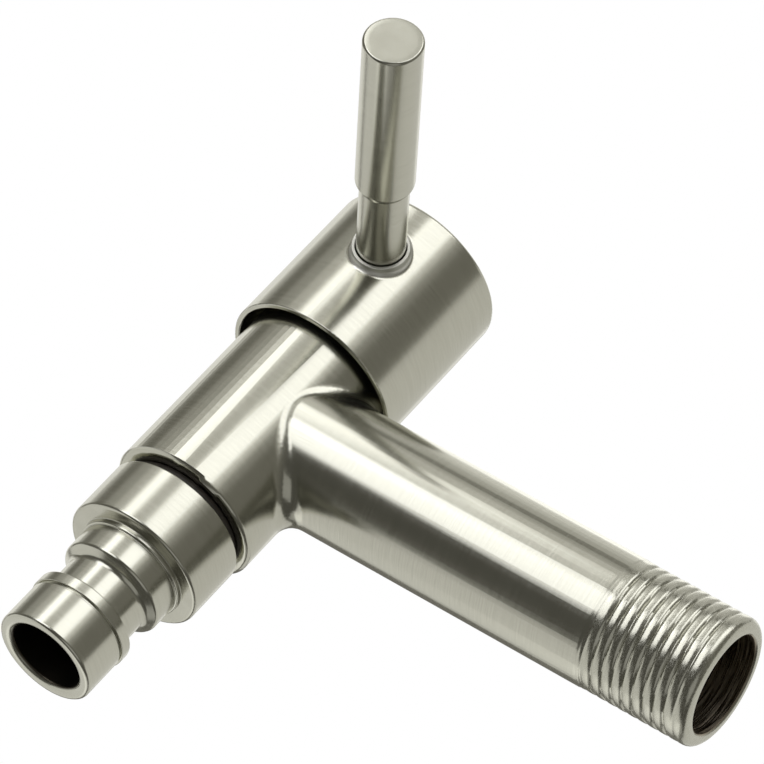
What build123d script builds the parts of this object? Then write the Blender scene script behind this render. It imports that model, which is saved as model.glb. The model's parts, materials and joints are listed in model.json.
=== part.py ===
from build123d import *
from math import cos, radians, sin, tan
import os

# Wall-mounted hose tap with a quarter-turn ceramic disc cartridge.
# Millimetres. The origin is the centre of the inlet's end face, +Y points out of the inlet, towards the
# wall. The barrel stands upright at y = -reach: the handle is on top and the hose nozzle points down.
# Heights along the barrel are measured from the branch's axis, at z = 0.

os.makedirs("parts", exist_ok=True)

# --- Layout -------------------------------------------------------------------------------------------
reach = 84.0                 # inlet end face to the barrel's axis
barrel_below = 20.1          # branch axis down to the barrel's foot
barrel_above = 15.0          # branch axis up to the barrel's rim
seat_depth = 11.0            # branch axis down to the seat ledge
lever_clock = 5.0            # lever's direction at rest, degrees from +X towards +Y
quarter_turn = 90.0          # travel of the handle, clockwise from above

# --- Body ---------------------------------------------------------------------------------------------
barrel_od = 24.74
barrel_wall = 2.45           # beside the threads
barrel_chamfer = 0.75
chamber_relief = 0.5         # the chamber is this much smaller in radius than the cartridge's thread
ledge_thickness = 2.5
seat_hole_d = 11.2
branch_od = 21.1
branch_wall = 2.43
port_d = 13.0                # through the barrel's wall, from the branch to the chamber
root_fillet = 3.2            # where the branch meets the barrel
inlet_thread_step = 0.07     # the thread's crest lies this far under the branch's skin
inlet_thread_pitch = 25.4 / 14
inlet_thread_lead = 2.6      # plain lip between the end face and the first groove's middle
inlet_thread_length = 18.9   # end face to the last groove's end
inlet_thread_depth = 0.7     # the crests are cut wide and flat, so the groove is shallow
thread_flank_angle = 27.5
thread_root_flat = 0.2
inlet_lip_radius = 1.4
inlet_bore_chamfer = 0.4
thread_play = 0.02           # radial play of the screwed joints, drawn at their pitch diameter
cut_margin = 0.3             # cutting shapes run this far past the surface that they cut

# --- Nozzle -------------------------------------------------------------------------------------------
nozzle_bore_d = 12.28
nozzle_bore_chamfer = 0.45
nozzle_thread_od = 15.8
nozzle_thread_length = 6.0
gasket_gap = 1.57            # the barrel's foot to the collar, filled by the gasket
gasket_od = 21.0
collar_od = 23.28
collar_length = 10.2
collar_back_chamfer = 0.25
collar_face_chamfer = 0.55
bead_od = 18.0
bead_length = 0.9
shoulder_od = 17.3
shoulder_length = 4.4
cone_length = 0.95
waist_od = 14.0
waist_length = 5.1
tip_ring_od = 17.0
tip_ring_length = 1.9
tip_groove_width = 0.45
tip_groove_depth = 0.25
tip_od = 16.6
tip_length = 7.38
tip_lip_radius = 0.4

# --- Cartridge ----------------------------------------------------------------------------------------
cartridge_gasket_thickness = 1.0
cartridge_flange_thickness = 2.0
cartridge_flange_rim = 0.8   # the flange is this much smaller in radius than the barrel
cartridge_thread_lift = 1.0  # the cartridge's thread starts this far above the spindle's cavity
hex_flats = 17.0
hex_height = 3.5
skirt_gap = 0.7              # water space around the skirt
skirt_wall = 1.0
skirt_lift = 0.6             # the skirt ends this far above the seat ledge
window_angle = 80.0
disc_play = 0.1
seal_height = 3.0
seal_wall = 1.45
support_ring_wall = 0.6
support_ring_inset = 0.4     # the ring is this much shorter than the seal at its foot
disc_thickness = 3.0
port_angle = 76.0            # each of the two ports through the fixed disc
port_inner_r = 1.9
port_rim = 2.2               # ceramic left outside each port
cutout_angle = 84.0          # each of the two notches in the moving disc
disc_hub_r = 1.5
disc_key_width = 3.0
disc_key_height = 0.8
key_play = 0.1
drive_tab_width = 2.8
drive_tab_height = 1.1

# --- Spindle ------------------------------------------------------------------------------------------
spindle_d = 9.2
spindle_play = 0.04          # radial running clearance in the housing
spindle_flange_r = 6.2
spindle_flange_height = 4.5
cavity_play = 0.2
stop_lug_r = 7.35
stop_lug_angle = 40.0
stop_lug_height = 3.6
stop_play_angle = 0.6
glide_thickness = 0.8
o_ring_section = 1.5
o_ring_squeeze = 0.02        # the squeezed ring still clears the bore by this, radially
o_ring_groove_width = 1.9
o_ring_spacing = 4.2
o_ring_first = 6.0           # glide washer to the lower ring's middle
circlip_thickness = 0.7
circlip_groove_depth = 0.7
circlip_wall = 1.9
circlip_gap_angle = 70.0
circlip_play = 0.1
circlip_land = 0.4           # plain spindle between the circlip and the splines
spindle_above_hex = 10.5
spline_od = 8.0
spline_teeth = 20
spline_depth = 0.45
spline_tooth_width = 0.62
spline_play = 0.05

# --- Handle -------------------------------------------------------------------------------------------
hub_lift = 1.4               # the hub's foot above the hexagon
hub_height = 13.9
hub_play = 0.08              # radial, inside the cap
cap_gap = 1.3                # radial space between the barrel and the cap
cap_wall = 0.9
cap_top_thickness = 2.5
cap_top_play = 0.2
cap_overlap = 3.07           # the cap's rim hangs this far below the barrel's rim
cap_edge_radius = 0.8
cap_rim_radius = 0.2
cap_hole_play = 0.2
cap_lip_wall = 0.45          # the lever's hole is drawn out into a soft lip
cap_lip_height = 1.1
cap_lip_root_radius = 0.95
cap_lip_radius = 0.12
lever_height = 6.0           # the hub's foot to the lever's axis
neck_d = 7.68
neck_length = 16.05          # visible neck, from the cap's skin
neck_seat_r = 10.5           # the neck's end face, from the barrel's axis
neck_seat_play = 0.12
cone_step_length = 1.0
grip_d = 9.14
grip_length = 31.7
grip_end_chamfer = 0.3
stub_d = 5.35
stub_end_r = 5.3             # the stub's end, from the barrel's axis
stub_tip_play = 0.1
screw_recess_d = 7.4
screw_recess_depth = 3.0
screw_head_d = 7.0
screw_head_height = 2.0
screw_socket_flats = 2.5
screw_socket_depth = 1.2
screw_shank_d = 3.54
screw_clearance_d = 4.3
screw_length = 9.0
screw_hole_spare = 1.5
washer_thickness = 0.7
washer_od = 7.2

# --- Derived sizes ------------------------------------------------------------------------------------
barrel_r = barrel_od / 2
barrel_foot_z = -barrel_below
seat_z = -seat_depth
ledge_foot_z = seat_z - ledge_thickness
cartridge_thread_r = barrel_r - barrel_wall
chamber_r = cartridge_thread_r - chamber_relief
inlet_bore_r = branch_od / 2 - branch_wall
inlet_thread_r = branch_od / 2 - inlet_thread_step
nozzle_thread_r = nozzle_thread_od / 2

skirt_r = chamber_r - skirt_gap
skirt_bore_r = skirt_r - skirt_wall
disc_r = skirt_bore_r - disc_play
fixed_disc_z = seat_z + seal_height
moving_disc_z = fixed_disc_z + disc_thickness
drive_z = moving_disc_z + disc_thickness
glide_z = drive_z + spindle_flange_height
cavity_top_z = glide_z + glide_thickness
cavity_r = spindle_flange_r + cavity_play
flange_z = barrel_above + cartridge_gasket_thickness
hex_z = flange_z + cartridge_flange_thickness
hex_top_z = hex_z + hex_height
spindle_r = spindle_d / 2
spindle_bore_r = spindle_r + spindle_play
spindle_top_z = hex_top_z + spindle_above_hex
circlip_z = hex_top_z + circlip_play
spline_z = circlip_z + circlip_thickness + circlip_land
spline_root_r = spline_od / 2 - spline_depth
lower_ring_z = cavity_top_z + o_ring_first
upper_ring_z = lower_ring_z + o_ring_spacing

hub_z = hex_top_z + hub_lift
hub_top_z = hub_z + hub_height
cap_bore_r = barrel_r + cap_gap
cap_r = cap_bore_r + cap_wall
cap_hole_r = neck_d / 2 + cap_hole_play
cap_rim_z = barrel_above - cap_overlap
cap_ceiling_z = hub_top_z + cap_top_play
cap_top_z = cap_ceiling_z + cap_top_thickness
hub_r = cap_bore_r - hub_play
lever_z = hub_z + lever_height
recess_z = hub_top_z - screw_recess_depth
head_z = recess_z + washer_thickness

# --- Planes and axes ----------------------------------------------------------------------------------
barrel_axis = Axis((0, -reach, 0), (0, 0, 1))
barrel_section = Plane(origin=(0, -reach, 0), x_dir=(1, 0, 0), z_dir=(0, -1, 0))
lever_dir = (cos(radians(lever_clock)), sin(radians(lever_clock)), 0)
lever_axis = Axis((0, -reach, lever_z), lever_dir)
lever_section = Plane(origin=(0, -reach, lever_z), x_dir=lever_dir, z_dir=(lever_dir[1], -lever_dir[0], 0))


def level(z):
    """Horizontal sketch plane centred on the barrel's axis."""
    return Plane(origin=(0, -reach, z))


def across_lever(distance):
    """Sketch plane square to the lever, at a distance from the barrel's axis."""
    origin = (distance * lever_dir[0], distance * lever_dir[1] - reach, lever_z)
    return Plane(origin=origin, x_dir=(-lever_dir[1], lever_dir[0], 0), z_dir=lever_dir)


def sector(inner_r, outer_r, angle, middle):
    """Ring sector centred on the direction `middle`, to add to a sketch."""
    start = middle - angle / 2
    with BuildSketch() as ring_sector:
        with BuildLine():
            outer = CenterArc((0, 0), outer_r, start, angle)
            inner = CenterArc((0, 0), inner_r, start, angle)
            Line(inner @ 0, outer @ 0)
            Line(inner @ 1, outer @ 1)
        make_face()
    return ring_sector.sketch


def finish(part, name):
    part.label = name
    export_step(part, f"parts/{name}.step")


# --- Valve body: barrel, branch and inlet thread ----------------------------------------------------------
# The thread's groove: a V section swept along a helix that starts behind the inlet's plain lip.
with BuildPart() as inlet_thread_groove:
    with BuildLine() as thread_path:
        Helix(
            inlet_thread_pitch,
            inlet_thread_length - inlet_thread_lead - inlet_thread_pitch / 2,
            inlet_thread_r - inlet_thread_depth,
            center=(0, -inlet_thread_lead, 0),
            direction=(0, -1, 0),
        )
    groove_start = thread_path.line @ 0
    groove_out = Vector(groove_start.X, 0, groove_start.Z)
    with BuildSketch(Plane(origin=groove_start, x_dir=groove_out, z_dir=thread_path.line % 0)):
        groove_height = inlet_thread_depth + cut_margin
        root_half = thread_root_flat / 2
        mouth_half = root_half + groove_height * tan(radians(thread_flank_angle))
        with BuildLine():
            Polyline(
                (0, -root_half),
                (groove_height, -mouth_half),
                (groove_height, mouth_half),
                (0, root_half),
                close=True,
            )
        make_face()
    sweep(path=thread_path.line, is_frenet=True)

with BuildPart() as valve_body:
    with BuildSketch(level(barrel_foot_z)):
        Circle(barrel_r)
    extrude(amount=barrel_below + barrel_above)
    with BuildSketch(Plane.XZ):
        Circle(branch_od / 2)
    extrude(amount=reach)
    root = valve_body.edges().filter_by(GeomType.BSPLINE)
    fillet(root, root_fillet)
    chamfer(valve_body.edges().filter_by(GeomType.CIRCLE).group_by(Axis.Z)[0], barrel_chamfer)

    # inlet end: turned down to the thread's crest, with a rounded lip
    with BuildSketch(Plane.XZ):
        Circle(branch_od / 2 + cut_margin)
        Circle(inlet_thread_r, mode=Mode.SUBTRACT)
    extrude(amount=inlet_thread_length, mode=Mode.SUBTRACT)
    fillet(valve_body.edges().filter_by(GeomType.CIRCLE).sort_by(Axis.Y)[-1], inlet_lip_radius)

    # waterways: inlet bore, port, cartridge chamber and thread, seat hole, nozzle thread
    with BuildSketch(Plane.XZ):
        Circle(inlet_bore_r)
    extrude(amount=reach - barrel_r, mode=Mode.SUBTRACT)
    with BuildSketch(Plane.XZ):
        Circle(port_d / 2)
    extrude(amount=reach, mode=Mode.SUBTRACT)
    with BuildSketch(level(seat_z)):
        Circle(chamber_r)
    extrude(amount=seat_depth + barrel_above, mode=Mode.SUBTRACT)
    with BuildSketch(level(barrel_above)):
        Circle(cartridge_thread_r)
    extrude(amount=-(barrel_above - cavity_top_z), mode=Mode.SUBTRACT)
    with BuildSketch(level(seat_z)):
        Circle(seat_hole_d / 2)
    extrude(amount=-ledge_thickness, mode=Mode.SUBTRACT)
    with BuildSketch(level(ledge_foot_z)):
        Circle(nozzle_thread_r)
    extrude(amount=-(barrel_below - seat_depth - ledge_thickness), mode=Mode.SUBTRACT)
    mouth = valve_body.edges().filter_by(GeomType.CIRCLE).group_by(Axis.Y)[-1].sort_by(SortBy.RADIUS)[0]
    chamfer(mouth, inlet_bore_chamfer)
    add(inlet_thread_groove.part, mode=Mode.SUBTRACT)

finish(valve_body.part, "valve_body")

# --- Nozzle and its gasket ------------------------------------------------------------------------------
collar_back_z = barrel_foot_z - gasket_gap
collar_face_z = collar_back_z - collar_length
bead_z = collar_face_z - bead_length
shoulder_z = bead_z - shoulder_length
waist_top_z = shoulder_z - cone_length
waist_foot_z = waist_top_z - waist_length
ring_foot_z = waist_foot_z - tip_ring_length
groove_foot_z = ring_foot_z - tip_groove_width
tip_z = groove_foot_z - tip_length

with BuildPart() as nozzle:
    with BuildSketch(barrel_section):
        with BuildLine():
            Polyline(
                (nozzle_bore_d / 2, barrel_foot_z + nozzle_thread_length),
                (nozzle_thread_r - thread_play, barrel_foot_z + nozzle_thread_length),
                (nozzle_thread_r - thread_play, collar_back_z),
                (collar_od / 2 - collar_back_chamfer, collar_back_z),
                (collar_od / 2, collar_back_z - collar_back_chamfer),
                (collar_od / 2, collar_face_z + collar_face_chamfer),
                (collar_od / 2 - collar_face_chamfer, collar_face_z),
                (bead_od / 2, collar_face_z),
                (bead_od / 2, bead_z),
                (shoulder_od / 2, bead_z),
                (shoulder_od / 2, shoulder_z),
                (waist_od / 2, waist_top_z),
                (waist_od / 2, waist_foot_z),
                (tip_ring_od / 2, waist_foot_z),
                (tip_ring_od / 2, ring_foot_z),
                (tip_od / 2 - tip_groove_depth, ring_foot_z),
                (tip_od / 2 - tip_groove_depth, groove_foot_z),
                (tip_od / 2, groove_foot_z),
                (tip_od / 2, tip_z),
                (nozzle_bore_d / 2, tip_z),
                close=True,
            )
        make_face()
    revolve(axis=barrel_axis)
    tip_edges = nozzle.edges().filter_by(GeomType.CIRCLE).group_by(Axis.Z)[0].sort_by(SortBy.RADIUS)
    chamfer(tip_edges[0], nozzle_bore_chamfer)
    fillet(tip_edges[-1], tip_lip_radius)

finish(nozzle.part, "nozzle")

with BuildPart() as nozzle_gasket:
    with BuildSketch(level(collar_back_z)):
        Circle(gasket_od / 2)
        Circle(nozzle_thread_r + thread_play, mode=Mode.SUBTRACT)
    extrude(amount=gasket_gap)

finish(nozzle_gasket.part, "nozzle_gasket")

# --- Cartridge housing, screwed into the barrel -------------------------------------------------------
flange_r = barrel_r - cartridge_flange_rim
skirt_foot_z = seat_z + skirt_lift
pocket_angle = quarter_turn + stop_lug_angle + 2 * stop_play_angle
pocket_middle = -quarter_turn / 2

with BuildPart() as cartridge_housing:
    with BuildSketch(barrel_section):
        with BuildLine():
            Polyline(
                (0, skirt_foot_z),
                (skirt_r, skirt_foot_z),
                (skirt_r, cavity_top_z + cartridge_thread_lift),
                (cartridge_thread_r - thread_play, cavity_top_z + cartridge_thread_lift),
                (cartridge_thread_r - thread_play, flange_z),
                (flange_r, flange_z),
                (flange_r, hex_z),
                (0, hex_z),
                close=True,
            )
        make_face()
    revolve(axis=barrel_axis)
    with BuildSketch(level(hex_z)):
        RegularPolygon(hex_flats / 2, 6, major_radius=False)
    extrude(amount=hex_height)
    with BuildSketch(level(hex_top_z)):
        Circle(spindle_bore_r)
    extrude(amount=-(hex_top_z - skirt_foot_z), mode=Mode.SUBTRACT)
    # disc bore, then the cavity in which the spindle's flange turns between its stops
    with BuildSketch(level(skirt_foot_z)):
        Circle(skirt_bore_r)
    extrude(amount=drive_z + cavity_play - skirt_foot_z, mode=Mode.SUBTRACT)
    with BuildSketch(level(drive_z)):
        Circle(cavity_r)
    extrude(amount=cavity_top_z - drive_z, mode=Mode.SUBTRACT)
    with BuildSketch(level(drive_z)):
        add(sector(spindle_flange_r / 2, stop_lug_r + cavity_play, pocket_angle, pocket_middle))
    extrude(amount=spindle_flange_height, mode=Mode.SUBTRACT)
    # water windows towards and away from the branch, and key slots for the fixed disc
    with BuildSketch(level(moving_disc_z)):
        for middle in (90, 270):
            add(sector(skirt_bore_r / 2, skirt_r + skirt_gap / 2, window_angle, middle))
    extrude(amount=disc_thickness, mode=Mode.SUBTRACT)
    with BuildSketch(level(skirt_foot_z)):
        Rectangle(2 * skirt_r + skirt_gap, disc_key_width + 2 * key_play)
    extrude(amount=moving_disc_z - skirt_foot_z, mode=Mode.SUBTRACT)

finish(cartridge_housing.part, "cartridge_housing")

with BuildPart() as cartridge_gasket:
    with BuildSketch(level(barrel_above)):
        Circle(flange_r)
        Circle(cartridge_thread_r + thread_play, mode=Mode.SUBTRACT)
    extrude(amount=cartridge_gasket_thickness)

finish(cartridge_gasket.part, "cartridge_gasket")

# --- Seat seal, its support ring and the two ceramic discs --------------------------------------------
with BuildPart() as seat_seal:
    with BuildSketch(level(seat_z)):
        Circle(disc_r)
        Circle(disc_r - seal_wall, mode=Mode.SUBTRACT)
    extrude(amount=seal_height)

finish(seat_seal.part, "seat_seal")

with BuildPart() as seal_support_ring:
    with BuildSketch(level(seat_z + support_ring_inset)):
        Circle(disc_r - seal_wall)
        Circle(disc_r - seal_wall - support_ring_wall, mode=Mode.SUBTRACT)
    extrude(amount=seal_height - support_ring_inset)

finish(seal_support_ring.part, "seal_support_ring")

with BuildPart() as fixed_disc:
    with BuildSketch(level(fixed_disc_z)):
        Circle(disc_r)
    extrude(amount=disc_thickness)
    with BuildSketch(level(fixed_disc_z)):
        Rectangle(2 * skirt_r, disc_key_width)
    extrude(amount=disc_key_height)
    with BuildSketch(level(fixed_disc_z)):
        for middle in (90, 270):
            add(sector(port_inner_r, disc_r - port_rim, port_angle, middle))
    extrude(amount=disc_thickness, mode=Mode.SUBTRACT)

finish(fixed_disc.part, "fixed_disc")

with BuildPart() as moving_disc:
    with BuildSketch(level(moving_disc_z)):
        Circle(disc_r)
    extrude(amount=disc_thickness)
    with BuildSketch(level(moving_disc_z)):
        for middle in (0, 180):
            add(sector(disc_hub_r, disc_r + cut_margin, cutout_angle, middle))
    extrude(amount=disc_thickness, mode=Mode.SUBTRACT)
    # drive slots in the top face
    with BuildSketch(level(drive_z)):
        Rectangle(drive_tab_width + 2 * key_play, 2 * (disc_r + cut_margin))
    extrude(amount=-(drive_tab_height + key_play), mode=Mode.SUBTRACT)

finish(moving_disc.part, "moving_disc")

# --- Spindle with its rings ---------------------------------------------------------------------------
o_ring_groove_r = spindle_bore_r - o_ring_squeeze - o_ring_section

with BuildPart() as spindle:
    with BuildSketch(level(drive_z)):
        Circle(spindle_flange_r)
    extrude(amount=spindle_flange_height)
    with BuildSketch(level(drive_z + (spindle_flange_height - stop_lug_height) / 2)):
        add(sector(spindle_flange_r / 2, stop_lug_r, stop_lug_angle, 0))
    extrude(amount=stop_lug_height)
    # drive tabs under the flange
    with BuildSketch(level(drive_z)):
        with Locations((0, spindle_flange_r / 2), (0, -spindle_flange_r / 2)):
            Rectangle(drive_tab_width, spindle_flange_r / 2)
    extrude(amount=-drive_tab_height)
    with BuildSketch(level(glide_z)):
        Circle(spindle_r)
    extrude(amount=spline_z - glide_z)
    # grooves for the O-rings and the circlip
    circlip_groove_z = circlip_z + circlip_thickness / 2
    circlip_groove_r = spindle_r - circlip_groove_depth
    for groove_z, groove_width, groove_r in (
        (lower_ring_z, o_ring_groove_width, o_ring_groove_r),
        (upper_ring_z, o_ring_groove_width, o_ring_groove_r),
        (circlip_groove_z, circlip_thickness + circlip_play, circlip_groove_r),
    ):
        with BuildSketch(level(groove_z - groove_width / 2)):
            Circle(spindle_r + cut_margin)
            Circle(groove_r, mode=Mode.SUBTRACT)
        extrude(amount=groove_width, mode=Mode.SUBTRACT)
    # splined head with the tapped hole for the hub's screw
    with BuildSketch(level(spline_z)):
        Circle(spline_root_r)
        with PolarLocations(spline_root_r, spline_teeth):
            Rectangle(2 * spline_depth, spline_tooth_width)
    extrude(amount=spindle_top_z - spline_z)
    with BuildSketch(level(spindle_top_z)):
        Circle(screw_shank_d / 2 + thread_play)
    tapped_depth = spindle_top_z - (recess_z - screw_length) + screw_hole_spare
    extrude(amount=-tapped_depth, mode=Mode.SUBTRACT)

finish(spindle.part, "spindle")

for ring_name, ring_z in (("lower_spindle_o_ring", lower_ring_z), ("upper_spindle_o_ring", upper_ring_z)):
    with BuildPart() as o_ring:
        with BuildSketch(barrel_section):
            with Locations((o_ring_groove_r + o_ring_section / 2, ring_z)):
                Circle(o_ring_section / 2)
        revolve(axis=barrel_axis)
    finish(o_ring.part, ring_name)

with BuildPart() as glide_washer:
    with BuildSketch(level(glide_z)):
        Circle(spindle_flange_r - cavity_play / 2)
        Circle(spindle_r + cavity_play, mode=Mode.SUBTRACT)
    extrude(amount=glide_thickness)

finish(glide_washer.part, "glide_washer")

with BuildPart() as spindle_circlip:
    circlip_r = spindle_r - circlip_groove_depth + thread_play
    with BuildSketch(level(circlip_z)):
        add(sector(circlip_r, circlip_r + circlip_wall, 360 - circlip_gap_angle, 180))
    extrude(amount=circlip_thickness)

finish(spindle_circlip.part, "spindle_circlip")

# --- Handle: hub on the spline, its screw and washer, cap and lever ---------------------------------------
with BuildPart() as handle_hub:
    with BuildSketch(level(hub_z)):
        Circle(hub_r)
    extrude(amount=hub_height)
    with BuildSketch(level(hub_z)):
        Circle(spline_root_r + spline_play)
        with PolarLocations(spline_root_r, spline_teeth):
            Rectangle(2 * (spline_depth + spline_play), spline_tooth_width + 2 * spline_play)
    extrude(amount=spindle_top_z + cap_top_play - hub_z, mode=Mode.SUBTRACT)
    with BuildSketch(level(hub_top_z)):
        Circle(screw_recess_d / 2)
    extrude(amount=-screw_recess_depth, mode=Mode.SUBTRACT)
    with BuildSketch(level(hub_top_z)):
        Circle(screw_clearance_d / 2)
    extrude(amount=spindle_top_z - hub_top_z, mode=Mode.SUBTRACT)
    # seat for the lever's neck and tapped hole for its stub
    with BuildSketch(across_lever(neck_seat_r)):
        Circle(neck_d / 2 + neck_seat_play)
    extrude(amount=hub_r, mode=Mode.SUBTRACT)
    with BuildSketch(across_lever(stub_end_r - stub_tip_play)):
        Circle(stub_d / 2 + thread_play)
    extrude(amount=hub_r, mode=Mode.SUBTRACT)

finish(handle_hub.part, "handle_hub")

with BuildPart() as hub_washer:
    with BuildSketch(level(recess_z)):
        Circle(washer_od / 2)
        Circle(screw_clearance_d / 2, mode=Mode.SUBTRACT)
    extrude(amount=washer_thickness)

finish(hub_washer.part, "hub_washer")

with BuildPart() as hub_screw:
    with BuildSketch(level(recess_z - screw_length)):
        Circle(screw_shank_d / 2)
    extrude(amount=screw_length + washer_thickness)
    with BuildSketch(level(head_z)):
        Circle(screw_head_d / 2)
    extrude(amount=screw_head_height)
    with BuildSketch(level(head_z + screw_head_height)):
        RegularPolygon(screw_socket_flats / 2, 6, major_radius=False)
    extrude(amount=-screw_socket_depth, mode=Mode.SUBTRACT)

finish(hub_screw.part, "hub_screw")

with BuildPart() as handle_cap:
    with BuildSketch(level(cap_rim_z)):
        Circle(cap_r)
    extrude(amount=cap_top_z - cap_rim_z)
    fillet(handle_cap.edges().group_by(Axis.Z)[-1], cap_edge_radius)
    # lip around the lever's hole
    with BuildSketch(across_lever(neck_seat_r)):
        Circle(cap_hole_r + cap_lip_wall)
    extrude(amount=cap_r + cap_lip_height - neck_seat_r)
    fillet(handle_cap.edges().filter_by(GeomType.BSPLINE), cap_lip_root_radius)
    fillet(handle_cap.edges().filter_by(GeomType.CIRCLE).sort_by(Axis.X)[-1], cap_lip_radius)
    with BuildSketch(level(cap_rim_z)):
        Circle(cap_bore_r)
    extrude(amount=cap_ceiling_z - cap_rim_z, mode=Mode.SUBTRACT)
    fillet(handle_cap.edges().group_by(Axis.Z)[0], cap_rim_radius)
    # the lever's hole
    with BuildSketch(across_lever(neck_seat_r)):
        Circle(cap_hole_r)
    extrude(amount=cap_r, mode=Mode.SUBTRACT)

finish(handle_cap.part, "handle_cap")

neck_end = cap_r + neck_length
grip_end = neck_end + cone_step_length + grip_length

with BuildPart() as lever_rod:
    with BuildSketch(lever_section):
        with BuildLine():
            Polyline(
                (stub_end_r, 0),
                (stub_end_r, stub_d / 2),
                (neck_seat_r, stub_d / 2),
                (neck_seat_r, neck_d / 2),
                (neck_end, neck_d / 2),
                (neck_end + cone_step_length, grip_d / 2),
                (grip_end - grip_end_chamfer, grip_d / 2),
                (grip_end, grip_d / 2 - grip_end_chamfer),
                (grip_end, 0),
                close=True,
            )
        make_face()
    revolve(axis=lever_axis)

finish(lever_rod.part, "lever_rod")
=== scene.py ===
import json
import math
import bmesh
import bpy
from mathutils import Matrix, Vector


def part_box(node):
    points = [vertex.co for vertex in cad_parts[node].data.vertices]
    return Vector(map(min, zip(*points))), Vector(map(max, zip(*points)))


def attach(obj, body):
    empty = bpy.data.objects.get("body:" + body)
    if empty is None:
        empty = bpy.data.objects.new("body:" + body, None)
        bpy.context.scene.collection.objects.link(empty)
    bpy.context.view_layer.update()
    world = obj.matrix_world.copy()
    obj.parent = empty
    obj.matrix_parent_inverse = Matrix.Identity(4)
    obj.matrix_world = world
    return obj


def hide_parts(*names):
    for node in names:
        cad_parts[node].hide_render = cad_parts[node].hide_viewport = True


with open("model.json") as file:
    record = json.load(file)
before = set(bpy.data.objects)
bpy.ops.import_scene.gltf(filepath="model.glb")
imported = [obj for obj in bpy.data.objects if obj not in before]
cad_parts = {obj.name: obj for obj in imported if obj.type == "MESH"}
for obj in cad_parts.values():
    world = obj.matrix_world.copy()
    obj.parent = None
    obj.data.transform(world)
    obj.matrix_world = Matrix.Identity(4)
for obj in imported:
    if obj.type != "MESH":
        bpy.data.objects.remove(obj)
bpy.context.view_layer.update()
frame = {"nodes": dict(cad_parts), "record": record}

# Wall hose tap in the frame of its CAD model: the inlet's end face at the origin and facing +Y, the barrel
# upright with its handle on top, the lever towards +X. Sizes are in millimetres, places in metres.

MM = 0.001
UP = Vector((0, 0, 1))
OUT = Vector((0, 1, 0))


def middle_of(node):
    """The middle of a CAD node's box."""
    low, high = (Vector(corner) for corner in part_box(node))
    return (low + high) / 2


def height_of(node):
    """The heights of a CAD node's foot and top."""
    low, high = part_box(node)
    return low[2], high[2]


# --- Sizes of the visible pieces -------------------------------------------------------------------------
branch_r = 10.55
bore_r = 8.12
wall_middle = (branch_r + bore_r) / 2
barrel_middle = middle_of("nozzle")
barrel_middle.z = 0

thread_r = 10.48
thread_pitch = 25.4 / 14
thread_length = 18.9
thread_lead = 2.6            # end face to the middle of the first groove
thread_depth = 0.36
thread_seam = 0.4            # ring between the threaded end and the branch
lip_radius = 1.4
mouth_chamfer = 0.3

lever_clock = math.radians(5)
lever_axis = Vector((math.cos(lever_clock), math.sin(lever_clock), 0))
lever_middle = Vector((barrel_middle.x, barrel_middle.y, middle_of("lever_rod").z))

SIDES = 144                  # facets around a turned piece
LIP_STEPS = 6                # facets of the quarter round on the inlet's lip
THREAD_CUTS = 130            # cuts along the threaded end, which the groove is pressed into


# --- Workshop: how pieces are made -----------------------------------------------------------------------
def alone(piece):
    """Select one object, and nothing else."""
    bpy.ops.object.select_all(action="DESELECT")
    piece.select_set(True)
    bpy.context.view_layer.objects.active = piece


def edit(piece, kind="EDGE"):
    """Open one object in edit mode."""
    alone(piece)
    bpy.ops.object.mode_set(mode="EDIT")
    bpy.ops.mesh.select_mode(type=kind)


def leave():
    bpy.ops.object.mode_set(mode="OBJECT")


def pick_edges(piece, wanted):
    """In edit mode, select the edges whose two ends both satisfy `wanted`; returns how many."""
    bpy.ops.mesh.select_all(action="DESELECT")
    mesh = bmesh.from_edit_mesh(piece.data)
    picked = [edge for edge in mesh.edges if all(wanted(vertex.co) for vertex in edge.verts)]
    for edge in picked:
        edge.select_set(True)
    mesh.select_flush(True)
    bmesh.update_edit_mesh(piece.data)
    return len(picked)


def pick_rim(piece, wanted):
    """In edit mode, select the open edges whose ends satisfy `wanted`."""
    bpy.ops.mesh.select_all(action="DESELECT")
    mesh = bmesh.from_edit_mesh(piece.data)
    for edge in mesh.edges:
        if edge.is_boundary and all(wanted(vertex.co) for vertex in edge.verts):
            edge.select_set(True)
    bmesh.update_edit_mesh(piece.data)


def distance_along(point, middle, axis):
    """How far along an axis a point lies, in millimetres from its middle."""
    return (point - middle).dot(axis) / MM


def distance_out(point, middle, axis):
    """How far out from an axis a point lies, in millimetres."""
    step = point - middle
    return (step - axis * step.dot(axis)).length / MM


def ring(name, middle, axis, distance, radius, sides=SIDES):
    """An open circle around an axis, its place in its mesh."""
    bpy.ops.object.select_all(action="DESELECT")
    bpy.ops.mesh.primitive_circle_add(
        vertices=sides,
        radius=radius * MM,
        location=middle + axis * distance * MM,
        rotation=axis.to_track_quat("Z", "Y").to_euler(),
    )
    piece = bpy.context.object
    piece.name = name
    bpy.ops.object.transform_apply(location=True, rotation=True, scale=True)
    return piece


def draw_out(middle, axis, start, end):
    """Extrude the selected ring from one (distance, radius) to the next."""
    shift = axis * (end[0] - start[0]) * MM
    bpy.ops.mesh.extrude_region_move(TRANSFORM_OT_translate={"value": shift})
    ratio = end[1] / start[1]
    centre = middle + axis * end[0] * MM
    bpy.ops.transform.resize(value=(ratio, ratio, ratio), center_override=centre)


def soften(piece, middle, axis, corner, width, segments=3):
    """Round the circular edge at a corner of a turned piece."""

    def at_corner(point):
        along = abs(distance_along(point, middle, axis) - corner[0])
        out = abs(distance_out(point, middle, axis) - corner[1])
        return along < 0.004 and out < 0.004

    if pick_edges(piece, at_corner):
        bpy.ops.mesh.bevel(offset=width * MM, segments=segments, profile=0.5, affect="EDGES")


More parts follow.
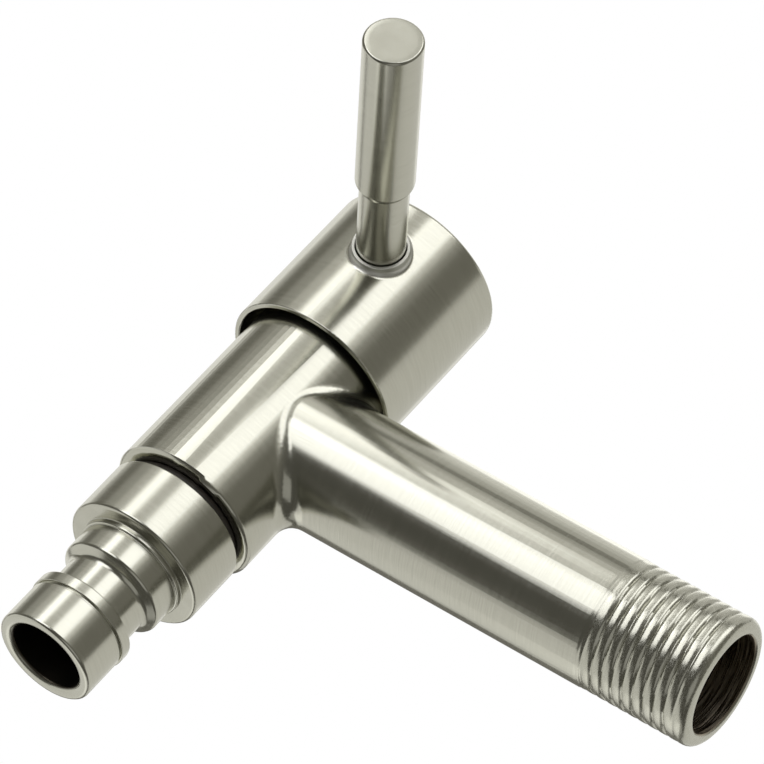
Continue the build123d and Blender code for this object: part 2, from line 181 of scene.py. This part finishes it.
def turned(name, middle, axis, outline, hollow=True, sides=SIDES):
    """Turn a piece on an axis. The outline's corners are (distance, radius, rounding)."""
    piece = ring(name, middle, axis, outline[0][0], outline[0][1], sides)
    edit(piece)
    bpy.ops.mesh.select_all(action="SELECT")
    for start, end in zip(outline, outline[1:]):
        draw_out(middle, axis, start, end)
    if hollow:
        bpy.ops.mesh.select_all(action="DESELECT")
        bpy.ops.mesh.select_non_manifold()
        bpy.ops.mesh.bridge_edge_loops()
    else:
        bpy.ops.mesh.select_all(action="SELECT")
        bpy.ops.mesh.fill_holes(sides=0)
    for distance, radius, rounding in outline:
        if rounding:
            soften(piece, middle, axis, (distance, radius), rounding)
    leave()
    return piece


def face_outwards(piece):
    """Turn every face outwards."""
    edit(piece, "FACE")
    bpy.ops.mesh.select_all(action="SELECT")
    bpy.ops.mesh.normals_make_consistent(inside=False)
    leave()


def smooth(piece, angle=32):
    """Smooth shading that keeps corners, with the large faces leading."""
    alone(piece)
    bpy.ops.object.shade_smooth_by_angle(angle=math.radians(angle))
    weights = piece.modifiers.new("even_shading", "WEIGHTED_NORMAL")
    weights.keep_sharp = True
    bpy.ops.object.modifier_apply(modifier=weights.name)


def stand_in(piece, node):
    """Hang a finished piece on the body of the CAD node that it replaces, and hide that node."""
    record = frame["record"]
    body = next(name for name, nodes in record["behaviour"]["bodies"].items() if node in nodes)
    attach(piece, body)
    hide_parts(node)


# --- Shader workshop -------------------------------------------------------------------------------------
class Reading:
    """A number that changes over a surface. Arithmetic on it adds Math nodes to its finish."""

    def __init__(self, finish, socket):
        self.finish = finish
        self.socket = socket

    def maths(self, operation, *values):
        """The result of one Math node."""
        inputs = dict(enumerate(values))
        node = self.finish.node("ShaderNodeMath", {"operation": operation}, inputs)
        return Reading(self.finish, node.outputs[0])

    def __add__(self, other):
        return self.maths("ADD", self, other)

    def __radd__(self, other):
        return self.maths("ADD", other, self)

    def __sub__(self, other):
        return self.maths("SUBTRACT", self, other)

    def __rsub__(self, other):
        return self.maths("SUBTRACT", other, self)

    def __mul__(self, other):
        return self.maths("MULTIPLY", self, other)

    def __rmul__(self, other):
        return self.maths("MULTIPLY", other, self)

    def __pow__(self, other):
        return self.maths("POWER", self, other)

    def step_up(self, start, end):
        """0 below `start`, 1 above `end`, and a soft rise between them."""
        settings = {"interpolation_type": "SMOOTHSTEP"}
        inputs = {"Value": self, "From Min": start, "From Max": end}
        node = self.finish.node("ShaderNodeMapRange", settings, inputs)
        return Reading(self.finish, node.outputs["Result"])


class Finish:
    """One material: a Principled shader and the nodes that feed it."""

    def __init__(self, name, **constants):
        self.material = bpy.data.materials.new(name)
        self.material.use_nodes = True
        self.tree = self.material.node_tree
        self.shader = self.tree.nodes["Principled BSDF"]
        self.place = self.node("ShaderNodeTexCoord").outputs["Object"]
        for socket, value in constants.items():
            self.set(socket.title(), value)

    def node(self, kind, settings=None, inputs=None):
        """Add a node: its settings first, then the values or links of its sockets."""
        node = self.tree.nodes.new(kind)
        for setting, value in (settings or {}).items():
            setattr(node, setting, value)
        for socket, value in (inputs or {}).items():
            self.feed(node.inputs[socket], value)
        return node

    def feed(self, socket, value):
        """Link a reading or a socket, or set a plain value."""
        if isinstance(value, Reading):
            self.tree.links.new(value.socket, socket)
        elif isinstance(value, bpy.types.NodeSocket):
            self.tree.links.new(value, socket)
        else:
            socket.default_value = value

    def set(self, name, value):
        """Feed a socket of the shader."""
        socket = "Specular IOR Level" if name == "Specular" else name
        self.feed(self.shader.inputs[socket], value)

    def grain(self, size, middle=(0, 0, 0), turn=0.0):
        """Object coordinates counted in grains: `size` is one grain's size along each axis, in metres."""
        inputs = {"Vector": self.place, "Location": middle, "Rotation": (0, 0, turn), "Scale": size}
        return self.node("ShaderNodeMapping", {"vector_type": "TEXTURE"}, inputs).outputs["Vector"]

    def noise(self, vector, detail=2.0, roughness=0.5):
        """A smooth random value, between 0 and 1, for each grain."""
        inputs = {"Vector": vector, "Scale": 1.0, "Detail": detail, "Roughness": roughness}
        return Reading(self, self.node("ShaderNodeTexNoise", None, inputs).outputs["Fac"])

    def axes(self, vector):
        """A vector's x, y and z."""
        node = self.node("ShaderNodeSeparateXYZ", None, {0: vector})
        return [Reading(self, output) for output in node.outputs]

    def around_barrel(self):
        """Distance from the barrel's axis, and height, both in metres."""
        x, y, z = self.axes(self.grain((1, 1, 1), tuple(barrel_middle)))
        return (x * x + y * y) ** 0.5, z

    def mix(self, amount, first, second):
        """Two colours mixed by a reading."""
        node = self.node("ShaderNodeMix", {"data_type": "RGBA"})
        self.feed(node.inputs["Factor"], amount)
        self.feed(node.inputs[6], first)
        self.feed(node.inputs[7], second)
        return node.outputs[2]

    def bump(self, height, depth, strength=1.0):
        """Relief `depth` metres deep."""
        inputs = {"Height": height, "Distance": depth, "Strength": strength}
        return self.node("ShaderNodeBump", None, inputs).outputs["Normal"]

    def edge(self, width):
        """1 on an edge, 0 on the faces beside it."""
        rounded = self.node("ShaderNodeBevel", {"samples": 4}, {"Radius": width}).outputs["Normal"]
        plain = self.node("ShaderNodeNewGeometry").outputs["Normal"]
        same = self.node("ShaderNodeVectorMath", {"operation": "DOT_PRODUCT"}, {0: rounded, 1: plain})
        return (1 - Reading(self, same.outputs["Value"])).step_up(0.01, 0.12)


def paint(piece, finish):
    """Give a piece one finish in place of those it has."""
    piece.data.materials.clear()
    piece.data.materials.append(finish.material)


# --- Finishes --------------------------------------------------------------------------------------------
STEEL = (0.60, 0.597, 0.52, 1)
STEEL_DULL = (0.53, 0.525, 0.45, 1)
# Painted highlight colour, for the steel's edges and the cap's lip.
STEEL_PAINTED_HIGHLIGHT = (0.71, 0.71, 0.66, 1)
# Painted shade inside the inlet's bore, a deep and a paler brown.
BORE_PAINTED_SHADE_DEEP = (0.2, 0.17, 0.13, 1)
BORE_PAINTED_SHADE_PALE = (0.6, 0.53, 0.42, 1)
# Painted shade inside the nozzle's bore: nearly black.
NOZZLE_BORE_PAINTED_SHADE = (0.06, 0.05, 0.035, 1)
BRUSH_LENGTH = 0.004         # one brush mark, along the way the wheel ran
BRUSH_WIDTH = 0.00009
BRUSH_DEPTH = 0.000006
RINGS_UPRIGHT = (BRUSH_LENGTH, BRUSH_LENGTH, BRUSH_WIDTH)
RINGS_ON_BRANCH = (BRUSH_LENGTH, BRUSH_WIDTH, BRUSH_LENGTH)
RINGS_ON_LEVER = (BRUSH_WIDTH, BRUSH_LENGTH, BRUSH_LENGTH)

# Where one look gives way to the next: the blend's start and end, in metres.
CAP_TO_LIP_R = (0.01458, 0.01475)
BARREL_TO_BRANCH_Y = (-0.0722, -0.0698)
BRANCH_TO_THREAD_Y = (-0.0192, -0.0184)
INLET_BORE_TO_SKIN_R = (0.00815, 0.0084)
NOZZLE_BORE_TO_SKIN_R = (0.0062, 0.0065)
NOZZLE_TO_COLLAR_Z = (-0.0325, -0.0322)


def brush_marks(finish, grain, middle=(0, 0, 0), turn=0.0):
    """Fine marks with a coarser set under them, between 0 and 1."""
    fine = finish.noise(finish.grain(grain, middle, turn), detail=3.0, roughness=0.6)
    coarse = finish.noise(finish.grain([3 * size for size in grain], middle, turn))
    return 0.65 * fine + 0.35 * coarse


def steel_skin(finish, marks, roughness, depth=BRUSH_DEPTH):
    """The look that all the steel shares: marks, a faint cloud and edges painted bright as a highlight.

    Returns its colour and roughness, for a finish that changes them in places.
    """
    cloud = finish.noise(finish.grain((0.009, 0.009, 0.009)), detail=3.0)
    edge = finish.edge(0.0002)
    tone = finish.mix((marks + 0.12 * cloud - 0.06).step_up(0.25, 0.75), STEEL_DULL, STEEL)
    # Painted highlight: the edges are painted a brighter steel colour.
    colour = finish.mix(edge * 0.7, tone, STEEL_PAINTED_HIGHLIGHT)
    sheen = roughness + (marks - 0.5) * 0.15 + (cloud - 0.5) * 0.03 + edge * 0.12
    finish.set("Base Color", colour)
    finish.set("Roughness", sheen)
    finish.set("Normal", finish.bump(marks, depth, 0.5))
    return colour, sheen


def cap_steel():
    """Brushed like the barrel; the soft lip around the lever's hole keeps a rougher matt skin, and its
    colour is painted brighter as a highlight.
    """
    finish = Finish("brushed_steel_cap", metallic=1.0)
    radius, _ = finish.around_barrel()
    on_lip = radius.step_up(*CAP_TO_LIP_R)
    colour, sheen = steel_skin(finish, brush_marks(finish, RINGS_UPRIGHT), roughness=0.21)
    # Painted highlight on the lip: its colour is brightened; the added roughness is its matt skin.
    finish.set("Base Color", finish.mix(on_lip, colour, STEEL_PAINTED_HIGHLIGHT))
    finish.set("Roughness", sheen + 0.25 * on_lip)
    return finish


def lever_steel():
    """Satin steel, brushed in rings around the lever."""
    finish = Finish("brushed_steel_lever", metallic=1.0)
    marks = brush_marks(finish, RINGS_ON_LEVER, tuple(lever_middle), lever_clock)
    steel_skin(finish, marks, roughness=0.24)
    return finish


def body_steel():
    """Satin steel of barrel and branch, each brushed around its own axis; cut thread, and a bored inlet
    whose walls are painted dark brown as shade.
    """
    finish = Finish("brushed_steel_body", metallic=1.0)
    x, y, z = finish.axes(finish.place)
    radius = (x * x + z * z) ** 0.5
    on_branch = y.step_up(*BARREL_TO_BRANCH_Y)
    on_thread = y.step_up(*BRANCH_TO_THREAD_Y)
    in_bore = on_branch * (1 - radius.step_up(*INLET_BORE_TO_SKIN_R))
    upright = brush_marks(finish, RINGS_UPRIGHT)
    across = brush_marks(finish, RINGS_ON_BRANCH)
    marks = upright + (across - upright) * on_branch
    torn = finish.noise(finish.grain((0.0004, 0.00014, 0.0004)), detail=2.0)
    tool_lines = finish.noise(finish.grain((0.006, 0.00022, 0.006)), detail=2.0)
    rough = on_thread * (1 - in_bore)
    relief = marks + (torn - 0.5) * 2.8 * rough + (tool_lines - 0.5) * 8.0 * in_bore
    colour, sheen = steel_skin(finish, relief, roughness=0.2)
    # Painted shade: the inlet's bore is painted darker and browner, streaked by the tool lines.
    finish.set("Base Color", finish.mix(in_bore, colour, finish.mix(tool_lines, BORE_PAINTED_SHADE_DEEP, BORE_PAINTED_SHADE_PALE)))
    finish.set("Roughness", sheen + 0.04 * rough + 0.12 * in_bore)
    return finish


def nozzle_steel():
    """Bright turned steel; the collar is brushed like the barrel and the bore is painted nearly black as
    shade.
    """
    finish = Finish("turned_steel_nozzle", metallic=1.0)
    radius, height = finish.around_barrel()
    below_collar = 1 - height.step_up(*NOZZLE_TO_COLLAR_Z)
    in_bore = 1 - radius.step_up(*NOZZLE_BORE_TO_SKIN_R)
    brushed = brush_marks(finish, RINGS_UPRIGHT)
    lathe_lines = finish.noise(finish.grain((0.008, 0.008, 0.00013)), detail=3.0)
    marks = brushed + ((lathe_lines - 0.5) * 0.7 + 0.6 - brushed) * below_collar
    colour, sheen = steel_skin(finish, marks, roughness=0.22, depth=0.000005)
    # Painted shade: the nozzle's bore is painted nearly black.
    finish.set("Base Color", finish.mix(in_bore * 0.96, colour, NOZZLE_BORE_PAINTED_SHADE))
    finish.set("Roughness", sheen - 0.03 * below_collar + 0.2 * in_bore)
    return finish


def plain_steel():
    """Machined steel of the small pieces inside."""
    finish = Finish("plain_machined_steel", metallic=1.0)
    lines = finish.noise(finish.grain((0.006, 0.006, 0.0002)), detail=2.0)
    steel_skin(finish, lines, roughness=0.3, depth=0.000008)
    return finish


def machined_brass():
    """Turned brass, a little tarnished, with bright edges."""
    finish = Finish("machined_brass", metallic=1.0)
    lines = finish.noise(finish.grain((0.006, 0.006, 0.00018)), detail=3.0)
    cloud = finish.noise(finish.grain((0.003, 0.003, 0.003)), detail=4.0)
    tarnish = finish.mix(cloud.step_up(0.35, 0.75), (0.72, 0.53, 0.25, 1), (0.55, 0.38, 0.17, 1))
    finish.set("Base Color", finish.mix(finish.edge(0.00015) * 0.6, tarnish, (0.85, 0.68, 0.38, 1)))
    finish.set("Roughness", 0.25 + 0.2 * lines + 0.1 * cloud)
    finish.set("Normal", finish.bump(lines, 0.00001, 0.5))
    return finish


def lapped_ceramic():
    """Warm white alumina with a faint speck."""
    finish = Finish("lapped_ceramic", specular=0.6)
    speck = finish.noise(finish.grain((0.0002, 0.0002, 0.0002)), detail=4.0)
    cloud = finish.noise(finish.grain((0.002, 0.002, 0.002)))
    body = finish.mix(0.6 * cloud + 0.4 * speck, (0.84, 0.81, 0.74, 1), (0.93, 0.91, 0.87, 1))
    finish.set("Base Color", body)
    finish.set("Roughness", 0.18 + 0.12 * speck)
    finish.set("Normal", finish.bump(speck, 0.000003, 0.4))
    return finish


def black_rubber():
    """Black rubber with a little dust."""
    finish = Finish("black_rubber", specular=0.4)
    skin = finish.noise(finish.grain((0.00025, 0.00025, 0.00025)), detail=4.0)
    dust = finish.noise(finish.grain((0.0015, 0.0015, 0.0015)), detail=3.0).step_up(0.45, 0.8)
    finish.set("Base Color", finish.mix(dust * 0.5, (0.022, 0.018, 0.014, 1), (0.06, 0.05, 0.04, 1)))
    finish.set("Roughness", 0.42 + 0.2 * skin + 0.1 * dust)
    finish.set("Normal", finish.bump(skin, 0.00003, 0.5))
    return finish


def natural_acetal():
    """Milky, slightly uneven plastic."""
    finish = Finish("natural_acetal", specular=0.45)
    skin = finish.noise(finish.grain((0.0004, 0.0004, 0.0004)), detail=3.0)
    cloud = finish.noise(finish.grain((0.003, 0.003, 0.003)))
    finish.set("Base Color", finish.mix(cloud, (0.80, 0.78, 0.72, 1), (0.87, 0.86, 0.81, 1)))
    finish.set("Roughness", 0.35 + 0.15 * skin)
    finish.set("Normal", finish.bump(skin, 0.00001, 0.4))
    return finish


def pale_floor():
    """Matt, almost white floor."""
    finish = Finish("pale_floor", specular=0.2)
    cloud = finish.noise(finish.grain((0.6, 0.6, 0.6)))
    finish.set("Base Color", finish.mix(cloud, (0.86, 0.86, 0.85, 1), (0.9, 0.9, 0.89, 1)))
    finish.set("Roughness", 0.8 + 0.1 * cloud)
    return finish


# --- Scene -----------------------------------------------------------------------------------------------
def set_camera():
    """A long lens below the tap, rolled so that the barrel slants."""
    aim = Vector((0.01444, -0.06718, 0.00817))
    azimuth = math.radians(117.68)
    elevation = math.radians(-30.2)
    roll = math.radians(43.39)
    distance = 0.8
    ahead = -math.cos(azimuth) * math.cos(elevation)
    back = Vector((math.sin(azimuth) * math.cos(elevation), ahead, math.sin(elevation)))
    level_right = UP.cross(back).normalized()
    right = math.cos(roll) * level_right + math.sin(roll) * back.cross(level_right)
    data = bpy.data.cameras.new("camera")
    data.sensor_width = 36
    data.lens = 254.3
    data.clip_start = 0.05
    data.clip_end = 20
    camera = bpy.data.objects.new("camera", data)
    placing = Matrix((right, back.cross(right), back)).transposed().to_4x4()
    placing.translation = aim + back * distance
    camera.matrix_world = placing
    bpy.context.scene.collection.objects.link(camera)
    bpy.context.scene.camera = camera


def softbox(name, azimuth, elevation, width, height, radiance, tint, distance=1.6):
    """A soft light that the tap sees at an azimuth, from +X towards +Y, and an elevation.

    Its width and height are in degrees, and its distance in metres.
    """
    a = math.radians(azimuth)
    e = math.radians(elevation)
    direction = Vector((math.cos(a) * math.cos(e), math.sin(a) * math.cos(e), math.sin(e)))
    light = bpy.data.lights.new(name, "AREA")
    light.shape = "RECTANGLE"
    light.size = 2 * distance * math.tan(math.radians(width / 2))
    light.size_y = 2 * distance * math.tan(math.radians(height / 2))
    light.energy = radiance * math.pi * light.size * light.size_y
    light.color = tint
    lamp = bpy.data.objects.new(name, light)
    lamp.location = barrel_middle + direction * distance
    lamp.rotation_euler = direction.to_track_quat("Z", "Y").to_euler()
    lamp.visible_camera = False
    bpy.context.scene.collection.objects.link(lamp)


def set_lights():
    """A bright pair of strips with fades, dim walls behind and below, and a light for the floor alone."""
    warm = (1.0, 0.995, 0.97)
    white = (1.0, 1.0, 1.03)
    softbox("key", 15, 32, 27, 60, 1.6, white)
    softbox("key_fade_near", 34, 32, 11, 56, 0.5, warm)
    softbox("key_fade_far", 45, 32, 11, 56, 0.12, warm)
    softbox("side_strip", -31, 16, 15, 40, 1.5, white)
    softbox("low_key", -22, -11, 32, 38, 1.7, white)
    softbox("fill_panel", -19, 34, 38, 42, 0.46, warm)
    softbox("left_fade_near", -47, 30, 18, 36, 0.4, warm)
    softbox("left_fade_far", -66, 38, 20, 50, 0.2, warm)
    softbox("grey_wall", 143, 25, 84, 80, 0.5, warm)
    softbox("back_wall", -133, 28, 38, 66, 0.74, warm)
    softbox("back_fade", -108, 38, 18, 66, 0.3, warm)
    softbox("back_corner", -162, 44, 28, 40, 0.42, warm)
    softbox("low_wall", -130, -43, 86, 62, 0.66, warm)
    softbox("low_front", 62, -46, 44, 40, 0.3, warm)
    softbox("under_lever", 176, -38, 44, 26, 0.34, warm)
    softbox("ceiling", -110, 82, 46, 46, 0.4, warm)
    data = bpy.data.lights.new("floor_light", "SUN")
    data.energy = 2.4
    data.angle = math.radians(60)
    floor_light = bpy.data.objects.new("floor_light", data)
    floor_light.visible_glossy = False
    bpy.context.scene.collection.objects.link(floor_light)


def set_surroundings():
    """White behind the tap, and in its reflections a dim grey room that is darker below."""
    bpy.context.scene.view_settings.view_transform = "Standard"
    world = bpy.data.worlds.new("studio")
    bpy.context.scene.world = world
    world.use_nodes = True
    tree = world.node_tree
    tree.nodes.clear()

    def background(colour, strength):
        node = tree.nodes.new("ShaderNodeBackground")
        node.inputs["Color"].default_value = colour
        node.inputs["Strength"].default_value = strength
        return node.outputs[0]

    def mixed(amount, first, second):
        node = tree.nodes.new("ShaderNodeMixShader")
        for socket, value in zip(node.inputs, (amount, first, second)):
            tree.links.new(value, socket)
        return node.outputs[0]

    direction = tree.nodes.new("ShaderNodeTexCoord").outputs["Generated"]
    split = tree.nodes.new("ShaderNodeSeparateXYZ")
    tree.links.new(direction, split.inputs[0])
    height = tree.nodes.new("ShaderNodeMapRange")
    height.interpolation_type = "SMOOTHSTEP"
    height.inputs["From Min"].default_value = -0.6
    height.inputs["From Max"].default_value = 0.2
    tree.links.new(split.outputs["Z"], height.inputs["Value"])
    room_tint = (1.0, 0.97, 0.85, 1)
    room = mixed(height.outputs["Result"], background(room_tint, 0.09), background(room_tint, 0.19))
    seen = tree.nodes.new("ShaderNodeLightPath").outputs["Is Camera Ray"]
    output = tree.nodes.new("ShaderNodeOutputWorld")
    tree.links.new(mixed(seen, room, background((1, 1, 1, 1), 1.0)), output.inputs["Surface"])


def set_floor():
    """A plain pale floor, far enough below that it takes no shadow in view."""
    bpy.ops.object.select_all(action="DESELECT")
    bpy.ops.mesh.primitive_plane_add(size=24, location=(0, 0, -1.6))
    floor = bpy.context.object
    floor.name = "floor"
    paint(floor, pale_floor())
    floor.visible_glossy = False


set_camera()
set_lights()
set_surroundings()
set_floor()


# --- Pieces ----------------------------------------------------------------------------------------------
def make_nozzle():
    """Hose nozzle, turned from bar: thread, collar, bead, shoulder, waist, ring and plain tip."""
    tip, top = (height / MM for height in height_of("nozzle"))
    bore, thread, collar, bead = 6.14, 7.88, 11.64, 9.0
    shoulder, waist, tip_ring, plain_tip = 8.65, 7.0, 8.5, 8.3
    groove = plain_tip - 0.25
    collar_back = top - 7.57
    collar_face = collar_back - 10.2
    bead_foot = collar_face - 0.9
    shoulder_foot = bead_foot - 4.4
    waist_top = shoulder_foot - 0.95
    ring_foot = tip + 7.83
    groove_foot = tip + 7.38
    outline = [
        (top, bore, 0.3),
        (top, thread, 0.4),
        (collar_back, thread, 0),
        (collar_back, collar, 0.3),
        (collar_face, collar, 0.55),
        (collar_face, bead, 0.12),
        (bead_foot, bead, 0.25),
        (bead_foot, shoulder, 0.05),
        (shoulder_foot, shoulder, 0.35),
        (waist_top, waist, 0.6),
        (ring_foot + 1.9, waist, 0.3),
        (ring_foot + 1.9, tip_ring, 0.28),
        (ring_foot, tip_ring, 0.12),
        (ring_foot, groove, 0),
        (groove_foot, groove, 0),
        (groove_foot, plain_tip, 0.12),
        (tip + 0.1, plain_tip, 0.5),
        (tip, (plain_tip + bore) / 2, 0.4),
        (tip + 0.15, bore + 0.45, 0.2),
        (tip + 0.6, bore, 0.2),
    ]
    nozzle = turned("hose_nozzle", barrel_middle, UP, outline)
    face_outwards(nozzle)
    smooth(nozzle)
    stand_in(nozzle, "nozzle")
    return nozzle


def make_nozzle_gasket():
    """Rubber ring squeezed between collar and barrel, so its rim bulges a little."""
    foot, top = (height / MM for height in height_of("nozzle_gasket"))
    inner, rim, bulge = 7.92, 10.25, 0.25
    middle = (foot + top) / 2
    outline = [
        (foot, inner, 0),
        (foot, rim, 0.15),
        (middle, rim + bulge, 0.4),
        (top, rim, 0.15),
        (top, inner, 0),
    ]
    gasket = turned("nozzle_gasket_ring", barrel_middle, UP, outline)
    face_outwards(gasket)
    smooth(gasket)
    stand_in(gasket, "nozzle_gasket")
    return gasket


def make_lever():
    """Lever rod: threaded stub, slim neck and thicker grip, its edges broken with a file."""
    stub, neck, grip = 2.675, 3.84, 4.57
    stub_end, neck_seat, neck_end, grip_end = 5.3, 10.5, 30.62, 63.32
    cone, chamfer = 1.0, 0.3
    outline = [
        (stub_end, stub - chamfer, 0.1),
        (stub_end + chamfer, stub, 0.1),
        (neck_seat, stub, 0.1),
        (neck_seat, neck, 0.2),
        (neck_end, neck, 0.25),
        (neck_end + cone, grip, 0.3),
        (grip_end - chamfer, grip, 0.12),
        (grip_end, grip - chamfer, 0.12),
        (grip_end, grip - 1.2, 0),
    ]
    lever = turned("lever_handle", lever_middle, lever_axis, outline, hollow=False, sides=96)
    face_outwards(lever)
    smooth(lever)
    stand_in(lever, "lever_rod")
    return lever


def cut_thread(piece):
    """Press the helical groove between broad round crests.

    It fades in behind the lip and out at the branch.
    """

    def rise(start, end, value):
        share = min(max((value - start) / (end - start), 0), 1)
        return share * share * (3 - 2 * share)

    def groove(turns, angle):
        from_crest = abs(2 * ((turns - angle) % 1) - 1)
        return thread_depth * from_crest ** 4

    last_turn = (thread_length - thread_lead) / thread_pitch
    for vertex in piece.data.vertices:
        place = vertex.co / MM
        out = math.hypot(place.x, place.z)
        turns = (-place.y - thread_lead) / thread_pitch
        angle = math.atan2(place.z, place.x) / math.tau
        fade = rise(-0.45, 0.1, turns) * (1 - rise(last_turn - 0.5, last_turn, turns))
        if out > wall_middle and fade > 0:
            inward = groove(turns, angle) * fade / out
            vertex.co.x -= vertex.co.x * inward
            vertex.co.z -= vertex.co.z * inward


def make_threaded_end():
    """The inlet's end as a tube: thread, rounded lip, end face, chamfered mouth and bore."""
    origin = Vector((0, 0, 0))
    start = -(thread_length + thread_seam)
    tube = ring("threaded_end", origin, OUT, start, thread_r, sides=180)
    edit(tube)
    bpy.ops.mesh.select_all(action="SELECT")
    lip_start = -lip_radius
    draw_out(origin, OUT, (start, thread_r), (lip_start, thread_r))
    lip = (lip_start, thread_r)
    for step in range(1, LIP_STEPS + 1):
        angle = math.radians(90 / LIP_STEPS * step)
        corner = (-lip_radius * (1 - math.sin(angle)), thread_r - lip_radius * (1 - math.cos(angle)))
        draw_out(origin, OUT, lip, corner)
        lip = corner
    draw_out(origin, OUT, lip, (0, bore_r + mouth_chamfer))
    draw_out(origin, OUT, (0, bore_r + mouth_chamfer), (-mouth_chamfer, bore_r))
    draw_out(origin, OUT, (-mouth_chamfer, bore_r), (start, bore_r))
    bpy.ops.mesh.select_all(action="DESELECT")
    mesh = bmesh.from_edit_mesh(tube.data)
    for edge in mesh.edges:
        outside = min(math.hypot(v.co.x, v.co.z) for v in edge.verts) > wall_middle * MM
        if outside and edge.calc_length() > 0.6 * thread_length * MM:
            edge.select_set(True)
    bmesh.update_edit_mesh(tube.data)
    bpy.ops.mesh.subdivide(number_cuts=THREAD_CUTS)
    leave()
    cut_thread(tube)
    return tube


def make_valve_body():
    """Barrel and branch from the CAD shape, joined to a threaded end with a soft-crested thread."""
    source = frame["nodes"]["valve_body"]
    body = source.copy()
    body.data = source.data.copy()
    body.name = "tap_body_shell"
    bpy.context.scene.collection.objects.link(body)
    edit(body, "VERT")
    bpy.ops.mesh.select_all(action="SELECT")
    bpy.ops.mesh.remove_doubles(threshold=0.000002)
    cut = -(thread_length + 2 * thread_seam) * MM
    bpy.ops.mesh.bisect(plane_co=(0, cut, 0), plane_no=(0, 1, 0), clear_outer=True, use_fill=False)
    leave()
    tube = make_threaded_end()
    bpy.ops.object.select_all(action="DESELECT")
    tube.select_set(True)
    body.select_set(True)
    bpy.context.view_layer.objects.active = body
    bpy.ops.object.join()

    def at_seam(point, outside):
        near = -thread_length - 3 * thread_seam < point.y / MM < -thread_length + thread_seam
        return near and (math.hypot(point.x, point.z) / MM > wall_middle) == outside

    edit(body)
    for outside in (True, False):
        pick_rim(body, lambda point: at_seam(point, outside))
        bpy.ops.mesh.bridge_edge_loops()
    leave()
    face_outwards(body)
    smooth(body)
    stand_in(body, "valve_body")
    return body


nozzle = make_nozzle()
nozzle_gasket = make_nozzle_gasket()
lever = make_lever()
valve_body = make_valve_body()

finishes = {
    "brushed_stainless": cap_steel(),
    "turned_stainless": nozzle_steel(),
    "plain_steel": plain_steel(),
    "brass": machined_brass(),
    "ceramic": lapped_ceramic(),
    "black_rubber": black_rubber(),
    "nylon": natural_acetal(),
}
for part in frame["record"]["subparts"]:
    paint(frame["nodes"][part["node"]], finishes[part["material_slot"]])
paint(nozzle, finishes["turned_stainless"])
paint(nozzle_gasket, finishes["black_rubber"])
paint(valve_body, body_steel())
paint(lever, lever_steel())
